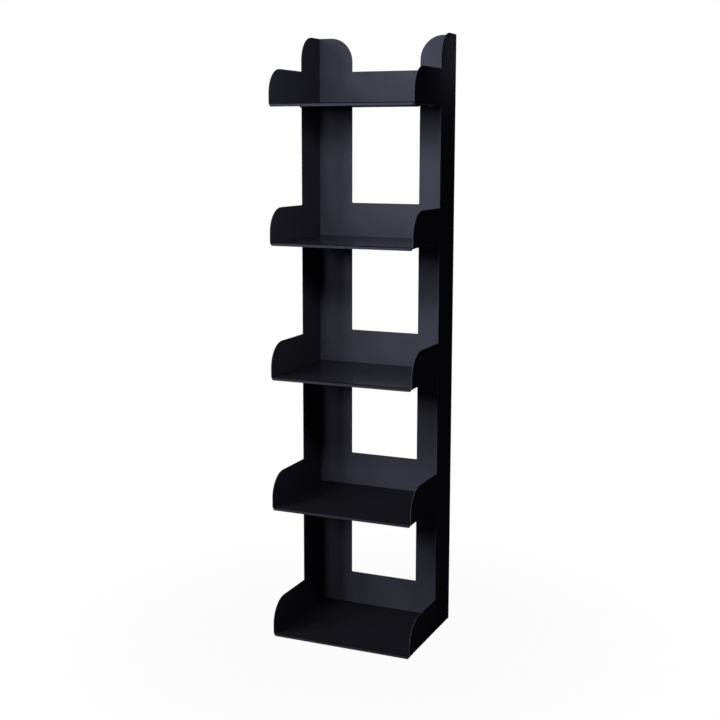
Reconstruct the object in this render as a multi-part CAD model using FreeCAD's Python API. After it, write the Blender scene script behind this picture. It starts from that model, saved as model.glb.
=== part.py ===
"""Spine bookshelf: a slim five-tier tower of folded black sheet steel.

Two side sheets, each with five rounded cheeks on a narrow rear flange, and a back sheet with four open
windows carry five folded floors. Ledges folded in along the sides and the back hold each floor, and weld
studs with thin nuts hold the sheets together from below and from behind. Millimetres, +Z up, front to -Y.
"""
import FreeCAD, Part
import math
import os

# Overall sizes of the sheet work
width = 350.0
depth = 268.0
tier_pitch = 312.0
tier_count = 5
sheet = 1.5
bend_inner = 1.2

# Side sheets: rear flange, forward cheeks and the ears above the top tier
flange_depth = 101.0
cheek_height = 81.0
ear_height = 163.0
corner_radius = 56.0
straight_run = 4.0
cheek_foot_radius = 4.0

# Back sheet: strips beside the windows and the rail behind each tier
strip_width = 88.0
rail_height = 84.0
window_corner_radius = 2.0

# Folded edges: floor lip, ledges under the floors and returns behind the back sheet
lip_drop = 4.6
lip_corner_radius = 4.5
ledge_width = 24.0
return_width = 28.0
relief_width = 1.5
relief_rise = 0.3
sheet_gap = 0.3

# Weld studs, thin nuts and the holes that they pass through
stud_diameter = 4.0
stud_length = 4.6
stud_end_chamfer = 0.5
collar_diameter = 5.5
collar_thickness = 0.8
hole_clearance = 0.25
nut_across_flats = 7.0
nut_height = 2.2
nut_chamfer_angle = 30.0
thread_clearance = 0.1
stud_end_margin = 26.0
ear_stud_drop = 42.0

# Levelling glides under the lowest tier
glide_diameter = 14.0
glide_foot_radius = 1.6
ground_gap = 3.0
insert_diameter = 8.0
insert_height = 2.6

# Planes and limits worked out from the sizes above
bend_outer = bend_inner + sheet
half_width = width / 2
depth_over_studs = depth - sheet + stud_length
front = -depth_over_studs / 2
rear = front + depth
back_rear = rear - sheet
back_front = back_rear - sheet
flange_front = rear - flange_depth
window_half = half_width - strip_width
inner_half = half_width - sheet - bend_inner - sheet_gap
ledge_front = front + cheek_foot_radius + 2 * relief_width
side_stud_x = half_width - sheet - (ledge_width - sheet) / 2
rear_stud_x = window_half / 2
rear_stud_y = back_front - (ledge_width - sheet) / 2
return_stud_x = half_width - sheet - (return_width - sheet) / 2
stud_hole = collar_diameter + 2 * hole_clearance
bore_radius = stud_diameter / 2 + thread_clearance
cheek_radius = min(corner_radius, cheek_height - cheek_foot_radius - straight_run)
ear_rise = ear_height - max(cheek_height, rail_height)
ear_room = min(ear_rise - straight_run, flange_depth - bend_outer, strip_width - return_width)
ear_radius = min(corner_radius, ear_room)

X = FreeCAD.Vector(1, 0, 0)
Y = FreeCAD.Vector(0, 1, 0)
Z = FreeCAD.Vector(0, 0, 1)


def tier_base(tier):
    """Level of the ledges' undersides, which is also the lower edge of the cheeks."""
    return ground_gap + lip_drop + tier * tier_pitch


top = tier_base(tier_count - 1) + ear_height


def rounded_face(corners, place):
    """Flat face through (u, v, radius) corners, each rounded by a tangent arc where its radius isn't zero."""
    points = [place(u, v) for u, v, _ in corners]
    count = len(points)
    arcs = []
    for i, (_, _, radius) in enumerate(corners):
        here = points[i]
        to_last = (points[i - 1] - here).normalize()
        to_next = (points[(i + 1) % count] - here).normalize()
        half_angle = to_last.getAngle(to_next) / 2
        reach = radius / math.tan(half_angle)
        middle = here + (to_last + to_next).normalize() * (radius / math.sin(half_angle) - radius)
        arcs.append((here + to_last * reach, middle, here + to_next * reach))
    edges = []
    for i, (start, middle, end) in enumerate(arcs):
        if corners[i][2] > 0:
            edges.append(Part.Arc(start, middle, end).toShape())
        edges.append(Part.LineSegment(end, arcs[(i + 1) % count][0]).toShape())
    return Part.Face(Part.Wire(edges))


def fold(corner, along_sheet, along_flange, reach, run):
    """Bend and flange that carry a sheet on past its outer corner, extruded along the bend."""
    centre = corner + (along_sheet + along_flange) * bend_outer
    outward = (along_sheet + along_flange).normalize() * -1
    outer_start = corner + along_sheet * bend_outer
    outer_end = corner + along_flange * bend_outer
    inner_end = outer_end + along_sheet * sheet
    inner_start = outer_start + along_flange * sheet
    tip = corner + along_flange * reach
    tip_inner = tip + along_sheet * sheet
    section = Part.Wire([
        Part.Arc(outer_start, centre + outward * bend_outer, outer_end).toShape(),
        Part.LineSegment(outer_end, tip).toShape(),
        Part.LineSegment(tip, tip_inner).toShape(),
        Part.LineSegment(tip_inner, inner_end).toShape(),
        Part.Arc(inner_end, centre + outward * bend_inner, inner_start).toShape(),
        Part.LineSegment(inner_start, outer_start).toShape(),
    ])
    return Part.Face(section).extrude(run)


def box(low, high):
    """Solid between two corners."""
    size = high - low
    return Part.makeBox(size.x, size.y, size.z, low)


def point(x, y, z):
    return FreeCAD.Vector(x, y, z)


def mirrored(shape):
    """The same piece for the other side of the tower."""
    return shape.mirror(point(0, 0, 0), X)


def ledge_rear(tier):
    """Rear end of the side ledge: the lowest runs to the back sheet, the others stop at the flange."""
    if tier == 0:
        return back_front - relief_width
    return flange_front - relief_width


def side_stud_rows(tier):
    """Front and rear places of the studs on a side ledge."""
    return [ledge_front + stud_end_margin, ledge_rear(tier) - stud_end_margin]


def floor_stud_places(tier):
    """Places of a floor's studs at the ledges' top faces: two a side, and two at the back of the lowest."""
    level = tier_base(tier) + sheet
    places = [point(side * side_stud_x, y, level) for side in (-1, 1) for y in side_stud_rows(tier)]
    if tier == 0:
        places += [point(side * rear_stud_x, rear_stud_y, level) for side in (-1, 1)]
    return places


def back_stud_levels():
    """Heights of the studs on the back sheet: one behind each rail and one in the ear."""
    levels = [tier_base(tier) + rail_height / 2 for tier in range(tier_count)]
    return levels + [top - ear_stud_drop]


def side_outline():
    """Corners of the side sheet in Y and Z, from the bottom of its rear edge round by the ear."""
    bend_line = rear - bend_outer
    corners = [(bend_line, tier_base(0), 0), (bend_line, top, 0), (flange_front, top, ear_radius)]
    for tier in reversed(range(tier_count)):
        base = tier_base(tier)
        corners.append((flange_front, base + cheek_height, 0))
        corners.append((front, base + cheek_height, cheek_radius))
        corners.append((front, base, cheek_foot_radius))
        if tier > 0:
            corners.append((flange_front, base, 0))
    return corners


def make_side_panel():
    """Right side sheet with its folded ledges and rear return."""
    inner_face = half_width - sheet
    panel = rounded_face(side_outline(), lambda y, z: point(inner_face, y, z)).extrude(X * sheet)
    cuts = []
    folds = [fold(point(half_width, rear, tier_base(0)), -Y, -X, return_width, Z * (top - tier_base(0)))]
    for tier in range(tier_count):
        base = tier_base(tier)
        start = ledge_front
        end = ledge_rear(tier)
        folds.append(fold(point(half_width, start, base), Z, -X, ledge_width, Y * (end - start)))
        cuts.append(box(point(inner_face, start, base), point(half_width, end, base + bend_outer)))
        relief_top = base + bend_outer + relief_rise
        for low in (start - relief_width, end):
            high = low + relief_width
            cuts.append(box(point(inner_face, low, base), point(half_width, high, relief_top)))
    panel = panel.cut(cuts).fuse(folds)
    holes = []
    for tier in range(tier_count):
        for y in side_stud_rows(tier):
            holes.append(Part.makeCylinder(stud_hole / 2, sheet, point(side_stud_x, y, tier_base(tier))))
    for z in back_stud_levels():
        holes.append(Part.makeCylinder(stud_hole / 2, sheet, point(return_stud_x, back_rear, z), Y))
    return panel.cut(holes).removeSplitter()


def make_back_panel():
    """Back sheet between the returns: strips, rails, ears, four windows and the ledges folded from them."""
    low = tier_base(0)
    notch = tier_base(tier_count - 1) + rail_height
    outline = [(-inner_half, low, 0), (inner_half, low, 0), (inner_half, top, 0),
               (window_half, top, ear_radius), (window_half, notch, 0),
               (-window_half, notch, 0), (-window_half, top, ear_radius), (-inner_half, top, 0)]
    panel = rounded_face(outline, lambda x, z: point(x, back_front, z)).extrude(Y * sheet)
    cuts = []
    folds = []
    for tier in range(tier_count):
        base = tier_base(tier)
        bend_line = base + bend_outer
        if tier == 0:
            ledge_half = half_width - ledge_width - relief_width
            cuts.append(box(point(-ledge_half, back_front, base), point(ledge_half, back_rear, bend_line)))
        else:
            ledge_half = window_half - relief_width
            sill = tier_base(tier - 1) + rail_height
            window = [(-window_half, sill, window_corner_radius), (window_half, sill, window_corner_radius),
                      (window_half, bend_line, 0), (-window_half, bend_line, 0)]
            cuts.append(rounded_face(window, lambda x, z: point(x, back_front, z)).extrude(Y * sheet))
        folds.append(fold(point(-ledge_half, back_rear, base), Z, -Y, ledge_width, X * (2 * ledge_half)))
    panel = panel.cut(cuts).fuse(folds)
    rear_studs = floor_stud_places(0)[-2:]
    holes = [Part.makeCylinder(stud_hole / 2, sheet, place - Z * sheet) for place in rear_studs]
    return panel.cut(holes).removeSplitter()


def make_floor(tier):
    """Floor sheet with its front lip folded down, resting on the ledges of one tier."""
    level = tier_base(tier) + 2 * sheet
    lip_end = tier_base(tier) - lip_drop
    lip_half = half_width - sheet - sheet_gap
    rear_edge = back_front - bend_inner - sheet_gap
    plate = box(point(-inner_half, front + bend_outer, level - sheet), point(inner_half, rear_edge, level))
    lip = fold(point(-lip_half, front, level), Y, -Z, level - lip_end, X * (2 * lip_half))
    outline = [(-lip_half, lip_end, lip_corner_radius), (lip_half, lip_end, lip_corner_radius),
               (lip_half, level, 0), (-lip_half, level, 0)]
    rounded = rounded_face(outline, lambda x, z: point(x, front, z)).extrude(Y * bend_outer)
    return plate.fuse(lip.common(rounded)).removeSplitter()


def make_stud(place, direction):
    """Weld stud with its collar, from the sheet that it is welded to along the given direction."""
    half = stud_diameter / 2
    profile = Part.makePolygon([
        point(0, 0, 0), point(collar_diameter / 2, 0, 0), point(collar_diameter / 2, 0, collar_thickness),
        point(half, 0, collar_thickness), point(half, 0, stud_length - stud_end_chamfer),
        point(half - stud_end_chamfer, 0, stud_length), point(0, 0, stud_length), point(0, 0, 0),
    ])
    stud = Part.Face(profile).revolve(point(0, 0, 0), Z, 360)
    return turned(stud, place, direction)


def make_nut(place, direction):
    """Thin hexagon nut with its corners chamfered at both ends, seated at the given place."""
    flat = nut_across_flats / 2
    corner = flat / math.cos(math.radians(30))
    turns = [math.radians(60 * side) for side in range(7)]
    hexagon = Part.makePolygon([point(corner * math.cos(turn), corner * math.sin(turn), 0) for turn in turns])
    spread = flat + nut_height / math.tan(math.radians(nut_chamfer_angle))
    nut = Part.Face(hexagon).extrude(Z * nut_height)
    for seat_radius, end_radius in ((flat, spread), (spread, flat)):
        nut = nut.common(Part.makeCone(seat_radius, end_radius, nut_height))
    nut = nut.cut(Part.makeCylinder(bore_radius, nut_height))
    return turned(nut, place, direction)


def turned(shape, place, direction):
    """A piece made along +Z, turned to a direction and moved to its place."""
    moved = shape.copy()
    moved.Placement = FreeCAD.Placement(place, FreeCAD.Rotation(Z, direction))
    return moved


def make_glide(place):
    """Nylon glide on a stud below the lowest ledge, bored for its threaded insert and the stud's tip."""
    height = tier_base(0)
    insert_floor = height - insert_height
    tip_floor = height - (stud_length - sheet)
    profile = [(0, 0, 0), (glide_diameter / 2, 0, glide_foot_radius), (glide_diameter / 2, height, 0),
               (insert_diameter / 2, height, 0), (insert_diameter / 2, insert_floor, 0),
               (bore_radius, insert_floor, 0), (bore_radius, tip_floor, 0), (0, tip_floor, 0)]
    body = rounded_face(profile, lambda r, z: point(r, 0, z)).revolve(point(0, 0, 0), Z, 360)
    return turned(body, place - Z * height, Z)


def make_insert(place):
    """Threaded bush in a glide."""
    low = place - Z * insert_height
    bush = Part.makeCylinder(insert_diameter / 2, insert_height, low)
    return bush.cut(Part.makeCylinder(bore_radius, insert_height, low))


def save(name, shape):
    shape.exportStep(os.path.join("parts", name + ".step"))


def main():
    os.makedirs("parts", exist_ok=True)
    right_side = make_side_panel()
    save("right_side_panel", right_side)
    save("left_side_panel", mirrored(right_side))
    save("back_panel", make_back_panel())
    for tier in range(tier_count):
        number = tier + 1
        places = floor_stud_places(tier)
        seats = [place - Z * sheet for place in places]
        save(f"shelf_floor_{number}", make_floor(tier))
        save(f"floor_studs_{number}", Part.makeCompound([make_stud(place, -Z) for place in places]))
        nut_seats = seats[-2:] if tier == 0 else seats
        save(f"floor_nuts_{number}", Part.makeCompound([make_nut(seat, -Z) for seat in nut_seats]))
    for side, name in ((-1, "left"), (1, "right")):
        seats = [point(side * return_stud_x, back_rear, z) for z in back_stud_levels()]
        save(f"back_studs_{name}", Part.makeCompound([make_stud(seat, Y) for seat in seats]))
        save(f"back_nuts_{name}", Part.makeCompound([make_nut(seat + Y * sheet, Y) for seat in seats]))
        for y, end in zip(side_stud_rows(0), ("front", "rear")):
            save(f"glide_{end}_{name}", make_glide(point(side * side_stud_x, y, tier_base(0))))
    glide_seats = [place - Z * sheet for place in floor_stud_places(0)[:4]]
    save("glide_inserts", Part.makeCompound([make_insert(seat) for seat in glide_seats]))


main()
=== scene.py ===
"""Spine bookshelf: coat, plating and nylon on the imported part, in a pale studio.

The camera is fitted to the photograph with a small shift, so that other views keep the whole part in frame.
"""
import math

import bpy
from mathutils import Matrix, Vector

# Camera: place in metres, angles in degrees, lens and sensor in millimetres, shift as a share of the frame
CAMERA_PLACE = (1.1483, -2.6631, 1.1685)
CAMERA_YAW = 23.493
CAMERA_PITCH = 9.174
CAMERA_ROLL = 0.101
CAMERA_LENS = 62.379
CAMERA_SENSOR = 36.0
CAMERA_SHIFT_Y = -0.02

# Lamps: place, aim, width and height in metres, power in watts
LAMPS = {
    "near_softbox": ((0.12, -1.20, 1.60), (0.0, 0.1, 1.30), 0.25, 0.25, 7.3),
    "low_softbox": ((0.12, -0.80, 1.35), (0.0, 0.1, 1.05), 0.25, 0.25, 1.9),
    "front_softbox": ((-0.62, -2.93, 1.55), (0.0, 0.0, 0.90), 0.6, 0.6, 20.0),
    "left_softbox": ((-1.93, -2.30, 2.20), (0.0, 0.0, 0.90), 0.6, 0.7, 48.0),
    "side_softbox": ((-2.60, -1.50, 1.55), (0.0, 0.0, 0.90), 0.6, 0.6, 44.0),
    "ear_softbox": ((0.275, 0.11, 1.37), (0.175, 0.11, 1.37), 0.08, 0.08, 0.025),
    "rear_softbox": ((-2.10, 2.10, 0.60), (0.0, 0.0, 0.70), 1.0, 0.8, 30.0),
}
AMBIENT = 0.02

# Studio floor: half its side, the colour that it throws back, and its white from the foot outwards
FLOOR_HALF = 8.0
FLOOR_COLOUR = (0.15, 0.15, 0.15, 1.0)
WHITE_RADIUS = (0.25, 1.1)
WHITE_SHARE = (0.965, 1.0)

# Colours of the coat: sheets and floor tops from dark to light, the floor tops painted darker than the
# sheets as shade, lips with undersides, and folds painted dark as shade
SHEET_COAT = ((0.041, 0.041, 0.058, 1.0), (0.047, 0.047, 0.067, 1.0))
SHADED_FLOOR_TOP = ((0.0105, 0.0105, 0.0149, 1.0), (0.0121, 0.0121, 0.0172, 1.0))
LIP_COAT = (0.0321, 0.0321, 0.0456, 1.0)
FOLD_SHADE = (0.004, 0.004, 0.0057, 1.0)

# Texture of the coat: how fine its clouds, grain and orange peel are, and its roughness on sheets and floors
COAT_CLOUD = 9.0
COAT_GRAIN = 900.0
COAT_PEEL = 420.0
SHEET_ROUGHNESS = (0.58, 0.70)
FLOOR_ROUGHNESS = (0.16, 0.22)

# Sheen of the floors, and the floors that have it on their top faces
FLOOR_IOR = 1.2
FLOOR_SHEEN = 0.5
SHEEN_FLOORS = ("shelf_floor_3", "shelf_floor_4", "shelf_floor_5")

# Rise of a floor's normal at which the lip ends, the fold begins, the fold ends and the top begins, which
# lay out where the fold and the top are painted dark as shade
LIP_END = 0.15
FOLD_START = 0.40
FOLD_END = 0.90
TOP_START = 0.999

# Range in which most of a noise lies
NOISE_LOW = 0.3
NOISE_HIGH = 0.7

# Colours of the fasteners and glides, from dark to light, and the pitch of the threads in metres
ZINC = ((0.008, 0.008, 0.009, 1.0), (0.016, 0.016, 0.018, 1.0))
BRASS = ((0.62, 0.42, 0.17, 1.0), (0.74, 0.54, 0.26, 1.0))
NYLON = ((0.020, 0.020, 0.021, 1.0), (0.028, 0.028, 0.029, 1.0))
THREAD_PITCH = 0.0007


def new_material(name):
    """New node material, with its node tree and its shader."""
    material = bpy.data.materials.new(name)
    material.use_nodes = True
    tree = material.node_tree
    return material, tree, tree.nodes["Principled BSDF"]


def object_place(tree):
    return tree.nodes.new("ShaderNodeTexCoord").outputs["Object"]


def noise(tree, vector, scale, detail):
    """Noise texture of the given scale on a vector, as a value of 0 to 1."""
    node = tree.nodes.new("ShaderNodeTexNoise")
    node.inputs["Scale"].default_value = scale
    node.inputs["Detail"].default_value = detail
    node.inputs["Roughness"].default_value = 0.5
    tree.links.new(vector, node.inputs["Vector"])
    return node.outputs["Fac"]


def map_range(tree, value, low, high, to_low=0.0, to_high=1.0):
    """A value mapped from one range to another."""
    node = tree.nodes.new("ShaderNodeMapRange")
    node.inputs["From Min"].default_value = low
    node.inputs["From Max"].default_value = high
    node.inputs["To Min"].default_value = to_low
    node.inputs["To Max"].default_value = to_high
    tree.links.new(value, node.inputs["Value"])
    return node


def spread(tree, value, low, high):
    """A noise stretched to a range."""
    return map_range(tree, value, NOISE_LOW, NOISE_HIGH, low, high).outputs["Result"]


def ramp(tree, value, first, second, start=NOISE_LOW, end=NOISE_HIGH):
    """Colour that goes from one to another between two levels of a value."""
    node = tree.nodes.new("ShaderNodeValToRGB")
    stops = node.color_ramp.elements
    stops[0].position = start
    stops[1].position = end
    stops[0].color = first
    stops[1].color = second
    tree.links.new(value, node.inputs["Fac"])
    return node.outputs["Color"]


def bump(tree, height, strength, distance, normal=None):
    """Bumped normal from a height, on top of another normal if one is given."""
    node = tree.nodes.new("ShaderNodeBump")
    node.inputs["Strength"].default_value = strength
    node.inputs["Distance"].default_value = distance
    tree.links.new(height, node.inputs["Height"])
    if normal is not None:
        tree.links.new(normal, node.inputs["Normal"])
    return node.outputs["Normal"]


def arithmetic(tree, operation, first, second):
    """Two values combined by one operation of a math node."""
    node = tree.nodes.new("ShaderNodeMath")
    node.operation = operation
    tree.links.new(first, node.inputs[0])
    tree.links.new(second, node.inputs[1])
    return node.outputs[0]


def coat_texture(tree):
    """Clouds, grain and orange peel of a baked powder coat."""
    place = object_place(tree)
    cloud = noise(tree, place, COAT_CLOUD, detail=3.0)
    grain = noise(tree, place, COAT_GRAIN, detail=2.0)
    peel = noise(tree, place, COAT_PEEL, detail=1.0)
    return cloud, grain, peel


def sheet_coat(name):
    """Matt black powder coat: faint mottling and fine orange peel."""
    material, tree, shader = new_material(name)
    cloud, grain, peel = coat_texture(tree)
    tree.links.new(ramp(tree, cloud, *SHEET_COAT), shader.inputs["Base Color"])
    tree.links.new(spread(tree, grain, *SHEET_ROUGHNESS), shader.inputs["Roughness"])
    tree.links.new(bump(tree, peel, strength=0.12, distance=0.0004), shader.inputs["Normal"])
    shader.inputs["Specular IOR Level"].default_value = 0.0
    return material


def shaded_floor_coat(name, sheen):
    """Powder coat of a floor: its top painted darker than the sheets as shade, a lighter lip, and a fold
    between them painted darker still as shade.
    """
    material, tree, shader = new_material(name)
    cloud, grain, peel = coat_texture(tree)
    split = tree.nodes.new("ShaderNodeSeparateXYZ")
    tree.links.new(tree.nodes.new("ShaderNodeNewGeometry").outputs["Normal"], split.inputs["Vector"])
    rise = split.outputs["Z"]
    # The top faces take the floor-top colour, painted darker than the sheets as shade
    top = map_range(tree, rise, FOLD_END, TOP_START).outputs["Result"]
    colour = tree.nodes.new("ShaderNodeMix")
    colour.data_type = "RGBA"
    tree.links.new(top, colour.inputs["Factor"])
    # Lip and undersides go over to the fold, painted dark as shade where the floor bends
    tree.links.new(ramp(tree, rise, LIP_COAT, FOLD_SHADE, LIP_END, FOLD_START), colour.inputs["A"])
    tree.links.new(ramp(tree, cloud, *SHADED_FLOOR_TOP), colour.inputs["B"])
    tree.links.new(colour.outputs["Result"], shader.inputs["Base Color"])
    tree.links.new(spread(tree, grain, *FLOOR_ROUGHNESS), shader.inputs["Roughness"])
    tree.links.new(bump(tree, peel, strength=0.04, distance=0.0002), shader.inputs["Normal"])
    shader.inputs["IOR"].default_value = FLOOR_IOR
    shader.inputs["Specular IOR Level"].default_value = sheen
    return material


def metal(name, colours, roughness, thread_axis=None):
    """Plated metal with fine scratches, and turned grooves along an axis where it is threaded."""
    material, tree, shader = new_material(name)
    place = object_place(tree)
    stain = noise(tree, place, scale=260.0, detail=3.0)
    scratch = noise(tree, place, scale=2400.0, detail=2.0)
    tree.links.new(ramp(tree, stain, *colours), shader.inputs["Base Color"])
    tree.links.new(spread(tree, stain, roughness - 0.06, roughness + 0.10), shader.inputs["Roughness"])
    normal = bump(tree, scratch, strength=0.10, distance=0.0001)
    if thread_axis:
        wave = tree.nodes.new("ShaderNodeTexWave")
        wave.bands_direction = thread_axis
        # The bands of the texture repeat after pi / 10 divided by its scale
        wave.inputs["Scale"].default_value = math.pi / (10 * THREAD_PITCH)
        tree.links.new(place, wave.inputs["Vector"])
        normal = bump(tree, wave.outputs["Fac"], strength=0.8, distance=0.0004, normal=normal)
    tree.links.new(normal, shader.inputs["Normal"])
    shader.inputs["Metallic"].default_value = 1.0
    return material


def nylon(name):
    """Moulded dark nylon with a fine spark-eroded grain."""
    material, tree, shader = new_material(name)
    place = object_place(tree)
    cloud = noise(tree, place, scale=120.0, detail=2.0)
    grain = noise(tree, place, scale=3000.0, detail=2.0)
    tree.links.new(ramp(tree, cloud, *NYLON), shader.inputs["Base Color"])
    tree.links.new(spread(tree, grain, low=0.48, high=0.62), shader.inputs["Roughness"])
    tree.links.new(bump(tree, grain, strength=0.25, distance=0.0002), shader.inputs["Normal"])
    shader.inputs["Specular IOR Level"].default_value = 0.3
    return material


def seen_directly(tree):
    """1 for rays from the camera and from shiny or clear surfaces, 0 for the light that falls on things."""
    path = tree.nodes.new("ShaderNodeLightPath").outputs
    seen = arithmetic(tree, "MAXIMUM", path["Is Camera Ray"], path["Is Glossy Ray"])
    return arithmetic(tree, "MAXIMUM", seen, path["Is Transmission Ray"])


def make_world():
    """White where it is seen, and a faint even light where it falls on the part."""
    world = bpy.data.worlds.new("studio")
    world.use_nodes = True
    tree = world.node_tree
    background = tree.nodes["Background"]
    background.inputs["Color"].default_value = (1.0, 1.0, 1.0, 1.0)
    level = map_range(tree, seen_directly(tree), 0.0, 1.0, AMBIENT, 1.0)
    tree.links.new(level.outputs["Result"], background.inputs["Strength"])
    bpy.context.scene.world = world


def make_floor():
    """Pale floor: it takes the part's shadow near the foot and goes over to white further out."""
    mesh = bpy.data.meshes.new("studio_floor")
    corners = [(x * FLOOR_HALF, y * FLOOR_HALF, 0.0) for x, y in ((-1, -1), (1, -1), (1, 1), (-1, 1))]
    mesh.from_pydata(corners, [], [(0, 1, 2, 3)])
    floor = bpy.data.objects.new("studio_floor", mesh)
    bpy.context.scene.collection.objects.link(floor)
    material, tree, shader = new_material("studio_floor")
    shader.inputs["Base Color"].default_value = FLOOR_COLOUR
    shader.inputs["Roughness"].default_value = 0.9
    shader.inputs["Specular IOR Level"].default_value = 0.0
    white = tree.nodes.new("ShaderNodeEmission")
    white.inputs["Strength"].default_value = 1.0
    reach = tree.nodes.new("ShaderNodeVectorMath")
    reach.operation = "LENGTH"
    tree.links.new(object_place(tree), reach.inputs[0])
    fade = map_range(tree, reach.outputs["Value"], *WHITE_RADIUS, *WHITE_SHARE)
    fade.interpolation_type = "SMOOTHSTEP"
    mix = tree.nodes.new("ShaderNodeMixShader")
    share = arithmetic(tree, "MULTIPLY", fade.outputs["Result"], seen_directly(tree))
    tree.links.new(share, mix.inputs["Fac"])
    tree.links.new(shader.outputs[0], mix.inputs[1])
    tree.links.new(white.outputs[0], mix.inputs[2])
    tree.links.new(mix.outputs[0], tree.nodes["Material Output"].inputs["Surface"])
    mesh.materials.append(material)


def make_lamps():
    for name, (place, aim, wide, high, power) in LAMPS.items():
        light = bpy.data.lights.new(name, "AREA")
        light.shape = "RECTANGLE"
        light.size = wide
        light.size_y = high
        light.energy = power
        lamp = bpy.data.objects.new(name, light)
        lamp.location = place
        lamp.rotation_mode = "QUATERNION"
        lamp.rotation_quaternion = (Vector(aim) - Vector(place)).to_track_quat("-Z", "Y")
        lamp.visible_camera = False
        bpy.context.scene.collection.objects.link(lamp)


def make_camera():
    yaw, pitch, roll = (math.radians(angle) for angle in (CAMERA_YAW, CAMERA_PITCH, CAMERA_ROLL))
    forward = Vector((-math.sin(yaw) * math.cos(pitch), math.cos(yaw) * math.cos(pitch), -math.sin(pitch)))
    level = Vector((math.cos(yaw), math.sin(yaw), 0.0))
    plumb = level.cross(forward)
    right = level * math.cos(roll) + plumb * math.sin(roll)
    up = plumb * math.cos(roll) - level * math.sin(roll)
    data = bpy.data.cameras.new("photo_camera")
    data.lens = CAMERA_LENS
    data.sensor_width = CAMERA_SENSOR
    data.shift_y = CAMERA_SHIFT_Y
    camera = bpy.data.objects.new("photo_camera", data)
    matrix = Matrix((right, up, -forward)).transposed().to_4x4()
    matrix.translation = Vector(CAMERA_PLACE)
    camera.matrix_world = matrix
    bpy.context.scene.collection.objects.link(camera)
    bpy.context.scene.camera = camera


def add_sheen(mesh, material):
    """Puts a second material on the faces that look straight up."""
    mesh.materials.append(material)
    for face in mesh.polygons:
        face.material_index = int(face.normal.z > TOP_START)


def dress(nodes):
    """Gives every node of the part its material."""
    sheet = sheet_coat("powder_coat")
    floor = shaded_floor_coat("powder_coat_floor", sheen=0.0)
    floor_top = shaded_floor_coat("powder_coat_floor_top", sheen=FLOOR_SHEEN)
    zinc = metal("black_zinc", ZINC, roughness=0.34)
    upright_thread = metal("zinc_thread_upright", ZINC, roughness=0.30, thread_axis="Z")
    level_thread = metal("zinc_thread_level", ZINC, roughness=0.30, thread_axis="Y")
    brass = metal("brass", BRASS, roughness=0.30)
    glide = nylon("nylon")
    for name, node in nodes.items():
        if name.startswith("floor_studs"):
            material = upright_thread
        elif name.startswith("back_studs"):
            material = level_thread
        elif "nuts" in name:
            material = zinc
        elif name == "glide_inserts":
            material = brass
        elif name.startswith("glide"):
            material = glide
        elif name.startswith("shelf_floor"):
            material = floor
        else:
            material = sheet
        node.data.materials.clear()
        node.data.materials.append(material)
        if name in SHEEN_FLOORS:
            add_sheen(node.data, floor_top)


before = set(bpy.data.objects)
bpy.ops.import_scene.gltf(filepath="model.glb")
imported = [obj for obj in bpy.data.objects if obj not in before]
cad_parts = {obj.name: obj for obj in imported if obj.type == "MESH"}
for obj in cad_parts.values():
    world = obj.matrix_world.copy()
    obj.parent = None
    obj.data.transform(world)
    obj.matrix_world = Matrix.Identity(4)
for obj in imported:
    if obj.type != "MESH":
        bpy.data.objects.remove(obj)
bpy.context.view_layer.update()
bpy.context.scene.view_settings.view_transform = "Standard"
dress(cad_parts)
make_world()
make_floor()
make_lamps()
make_camera()
